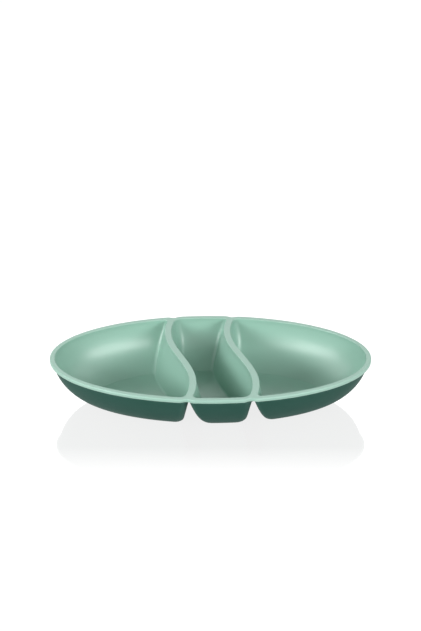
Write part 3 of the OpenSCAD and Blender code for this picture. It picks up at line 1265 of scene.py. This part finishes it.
@dataclass(frozen=True)
class EdgeRub:
    """Where handling has polished the outer edges, in broken patches."""

    flat: float = 0.5
    reach: float = 0.53
    patches: float = 60
    detail: float = 3.0
    broken: tuple[float, float] = (0.35, 0.6)
    weakest: float = 0.4

    def group(self) -> bpy.types.NodeTree:
        """Builds the effect.

        Returns:
            The shader node group, which puts out a mask.
        """
        group = effect("edge_rub", {"Reach": self.reach, "Patches": self.patches}, ("Rub",))
        sizes = group.node("NodeGroupInput").outputs
        edge = group.node("ShaderNodeNewGeometry").outputs["Pointiness"]
        near = group.ranged(edge, self.flat, sizes["Reach"])
        patches = group.node("ShaderNodeTexNoise", Vector=group.place(), Scale=sizes["Patches"],
                             Detail=self.detail)
        broken = group.ranged(patches.outputs[0], *self.broken, self.weakest)
        group.node("NodeGroupOutput", Rub=group.value(near) * group.value(broken))
        return group.tree


@dataclass(frozen=True)
class Effects:
    """The effects that both plastics share."""

    grain: bpy.types.NodeTree
    rub: bpy.types.NodeTree


@dataclass(frozen=True)
class SatinPlastic:
    """A moulded plastic with a satin skin."""

    name: str
    colour: tuple[float, float, float]
    flow_colour: tuple[float, float, float]
    # Colour of rubbed edges, and also of the painted sheen on the top of the rim and dividers.
    rubbed_and_sheen_colour: tuple[float, float, float]
    smoothest: float
    roughest: float
    gloss: float
    grain_size: float = 1400
    grain_depth: float = 0.02 * MM
    grain_strength: float = 0.25
    rim_depth: float = 1.5 * MM
    rim_roughness: float = 0.50

    def material(self, effects: Effects, top: float) -> bpy.types.Material:
        """Builds the finish, which turns matt and is painted paler, as a painted sheen, on the rim
        and on the dividers' tops.

        Args:
            effects: The effects that both plastics share.
            top: The height of the rim's top.

        Returns:
            The material.
        """
        made = bpy.data.materials.new(self.name)
        tree = emptied(made)
        grain = tree.node("ShaderNodeGroup", {"node_tree": effects.grain}, Grain=self.grain_size)
        rub = tree.node("ShaderNodeGroup", {"node_tree": effects.rub})
        flowed = tree.mixed(grain.outputs["Flow"], (*self.colour, 1), (*self.flow_colour, 1))
        # The top band of the rim and dividers turns matt and is also painted paler. The paler
        # colour is a painted sheen, mixed with the real edge rub.
        rim = tree.ranged(tree.along("Z"), top - self.rim_depth, top)
        sheen_and_rub = tree.value(rim).most(tree.value(rub.outputs["Rub"]))
        sheened_and_worn = tree.mixed(sheen_and_rub, flowed, (*self.rubbed_and_sheen_colour, 1))
        hazy = tree.ranged(grain.outputs["Haze"], 0, 1, self.smoothest, self.roughest)
        rough = tree.ranged(rim, 0, 1, hazy, self.rim_roughness)
        bump = tree.node("ShaderNodeBump", Height=grain.outputs["Height"],
                         Strength=self.grain_strength, Distance=self.grain_depth)
        skin = tree.node("ShaderNodeBsdfPrincipled", Base_Color=sheened_and_worn, Roughness=rough,
                         Normal=bump.outputs["Normal"], Specular_IOR_Level=self.gloss)
        tree.node("ShaderNodeOutputMaterial", Surface=skin.outputs["BSDF"])
        return made


MINT = SatinPlastic("mint_plastic", colour=(0.290, 0.492, 0.404),
                    flow_colour=(0.282, 0.482, 0.394), rubbed_and_sheen_colour=(0.330, 0.528, 0.440),
                    smoothest=0.31, roughest=0.36, gloss=0.68)
PINE = SatinPlastic("pine_green_plastic", colour=(0.024, 0.080, 0.062),
                    flow_colour=(0.022, 0.075, 0.058), rubbed_and_sheen_colour=(0.050, 0.125, 0.100),
                    smoothest=0.50, roughest=0.60, gloss=0.08)


# Studio

@dataclass(frozen=True)
class Softbox:
    """A soft square light that faces the bowl. Its azimuth runs from +Y towards +X."""

    name: str
    azimuth: float
    elevation: float
    distance: float
    width: float
    height: float
    radiance: float
    aim_height: float = 0.03

    def hang(self) -> bpy.types.Object:
        """Puts the light up, turned to the bowl.

        Returns:
            The light.
        """
        turn, rise = math.radians(self.azimuth), math.radians(self.elevation)
        way = Vector((math.sin(turn) * math.cos(rise), math.cos(turn) * math.cos(rise),
                      math.sin(rise)))
        lamp = bpy.data.lights.new(self.name, "AREA")
        lamp.shape = "RECTANGLE"
        lamp.size, lamp.size_y = self.width, self.height
        lamp.energy = self.radiance * math.pi * self.width * self.height
        thing = link(bpy.data.objects.new(self.name, lamp))
        thing.location = way * self.distance + Vector((0, 0, self.aim_height))
        thing.rotation_euler = way.to_track_quat("Z", "Y").to_euler()
        return thing


@dataclass(frozen=True)
class Studio:
    """The floor, the light and the pale surroundings."""

    floor_radius: float = 8.0
    floor_sides: int = 96
    floor_glow: float = 0.82
    floor_light: float = 0.25
    floor_shade: float = 0.05
    floor_gloss: float = 0.18
    floor_roughness: float = 0.05
    gloss_ends: tuple[float, float] = (-0.088, -0.142)
    dust_scale: float = 6.0
    dust_detail: float = 2.0
    dust_tint: float = 0.98
    fill: float = 0.19
    zenith: float = 0.45
    zenith_starts: tuple[float, float] = (0.60, 0.85)
    softboxes: tuple[Softbox, ...] = (
        Softbox("front_right_softbox", azimuth=140, elevation=21, distance=1.3,
                width=1.00, height=0.36, radiance=9.6),
        Softbox("front_left_softbox", azimuth=-136, elevation=21, distance=1.3,
                width=1.00, height=0.36, radiance=9.8),
        Softbox("right_softbox", azimuth=90, elevation=42, distance=1.4,
                width=1.20, height=0.80, radiance=0.9),
        Softbox("left_softbox", azimuth=-92, elevation=36, distance=1.4,
                width=1.20, height=0.80, radiance=1.9),
        Softbox("back_softbox", azimuth=0, elevation=32, distance=1.5,
                width=1.40, height=0.60, radiance=1.6),
    )

    def seen(self, tree: ShaderTree, lighting: float, shown: object) -> bpy.types.NodeSocket:
        """A strength that differs where the surroundings are seen and where they light.

        Args:
            tree: The tree that takes it.
            lighting: The strength as a light.
            shown: The strength to the camera, in reflections and through clear things.

        Returns:
            The strength.
        """
        rays = tree.node("ShaderNodeLightPath").outputs
        either = tree.value(rays["Is Camera Ray"])
        for title in ("Is Glossy Ray", "Is Transmission Ray"):
            either = either.most(tree.value(rays[title]))
        return tree.ranged(either, 0, 1, lighting, shown)

    def world(self) -> None:
        """White to the camera and in reflections, dimmer overhead, and a weaker fill light."""
        world = bpy.data.worlds.new("pale_surroundings")
        tree = emptied(world)
        way = tree.node("ShaderNodeSeparateXYZ",
                        Vector=tree.node("ShaderNodeTexCoord").outputs["Generated"])
        shown = tree.ranged(way.outputs["Z"], *self.zenith_starts, 1.0, self.zenith)
        glow = tree.node("ShaderNodeBackground", Color=WHITE,
                         Strength=self.seen(tree, self.fill, shown))
        tree.node("ShaderNodeOutputWorld", Surface=glow.outputs[0])
        bpy.context.scene.world = world

    def floor(self) -> bpy.types.Object:
        """A wide white floor that keeps the bowl's shadow, with a reflection that fades out.

        Returns:
            The floor.
        """
        body = bmesh.new()
        bmesh.ops.create_circle(body, cap_ends=True, segments=self.floor_sides,
                                radius=self.floor_radius)
        mesh = bpy.data.meshes.new("studio_floor")
        body.to_mesh(mesh)
        body.free()
        made = bpy.data.materials.new("white_floor")
        tree = emptied(made)
        dust = tree.node("ShaderNodeTexNoise", Vector=tree.place(), Scale=self.dust_scale,
                         Detail=self.dust_detail)
        clean, dusty = ((shade,) * 3 + (1,)
                        for shade in (self.floor_shade, self.floor_shade * self.dust_tint))
        matt = tree.node("ShaderNodeBsdfDiffuse", Color=tree.mixed(dust.outputs[0], clean, dusty))
        across = tree.along("Y")
        shine = tree.ranged(across, *self.gloss_ends, self.floor_gloss, 0.0)
        lit = tree.ranged(across, *self.gloss_ends, self.floor_glow,
                          self.floor_glow + self.floor_gloss)
        glow = tree.node("ShaderNodeEmission", Color=WHITE,
                         Strength=self.seen(tree, self.floor_light, lit))
        tint = tree.node("ShaderNodeCombineColor", Red=shine, Green=shine, Blue=shine)
        gloss = tree.node("ShaderNodeBsdfGlossy", Color=tint.outputs[0],
                          Roughness=self.floor_roughness)
        whole = matt.outputs[0]
        for part in (glow, gloss):
            added = tree.node("ShaderNodeAddShader")
            plug(tree.tree, added.inputs[0], whole)
            plug(tree.tree, added.inputs[1], part.outputs[0])
            whole = added.outputs[0]
        tree.node("ShaderNodeOutputMaterial", Surface=whole)
        mesh.materials.append(made)
        return link(bpy.data.objects.new("studio_floor", mesh))

    def build(self) -> None:
        """Sets up the floor, the surroundings and the lights."""
        self.floor()
        self.world()
        for box in self.softboxes:
            box.hang()
        bpy.context.scene.view_settings.view_transform = "Standard"


@dataclass(frozen=True)
class Camera:
    """The photograph's view."""

    place: tuple[float, float, float] = (0.0, -1.1802, 0.7975)
    way: tuple[float, float, float] = (0.0, 0.8651, -0.5017)
    lens: float = 70.8
    sensor: float = 36.0
    sight: float = 50.0

    def build(self) -> bpy.types.Object:
        """Sets up the camera and makes it the scene's own.

        Returns:
            The camera.
        """
        lens = bpy.data.cameras.new("photo_camera")
        lens.lens, lens.sensor_width, lens.clip_end = self.lens, self.sensor, self.sight
        camera = link(bpy.data.objects.new("photo_camera", lens))
        camera.location = self.place
        camera.rotation_euler = Vector(self.way).to_track_quat("-Z", "Y").to_euler()
        bpy.context.scene.camera = camera
        return camera


def main() -> None:
    """Builds the bowl around its frame, and then the studio and the camera."""
    logging.basicConfig(level=logging.INFO, format="%(name)s: %(message)s")
    low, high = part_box("inner_shell")
    plan = Plan((high.x - low.x) / 2, (high.y - low.y) / 2)
    shells = Shells(plan, Section(plan, high.z))
    effects = Effects(MouldedGrain().group(), EdgeRub().group())
    pieces = [
        (InnerShell(shells).build(MINT.material(effects, high.z)), "inner_shell", "light_plastic"),
        (OuterShell(shells).build(PINE.material(effects, high.z)), "outer_shell", "dark_plastic"),
    ]
    for piece, node, slot in pieces:
        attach(piece, "root")
        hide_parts(node)
        LOG.info("%s stands for %s", piece.name, node)
    Studio().build()
    Camera().build()


if __name__ == "__main__":
    main()
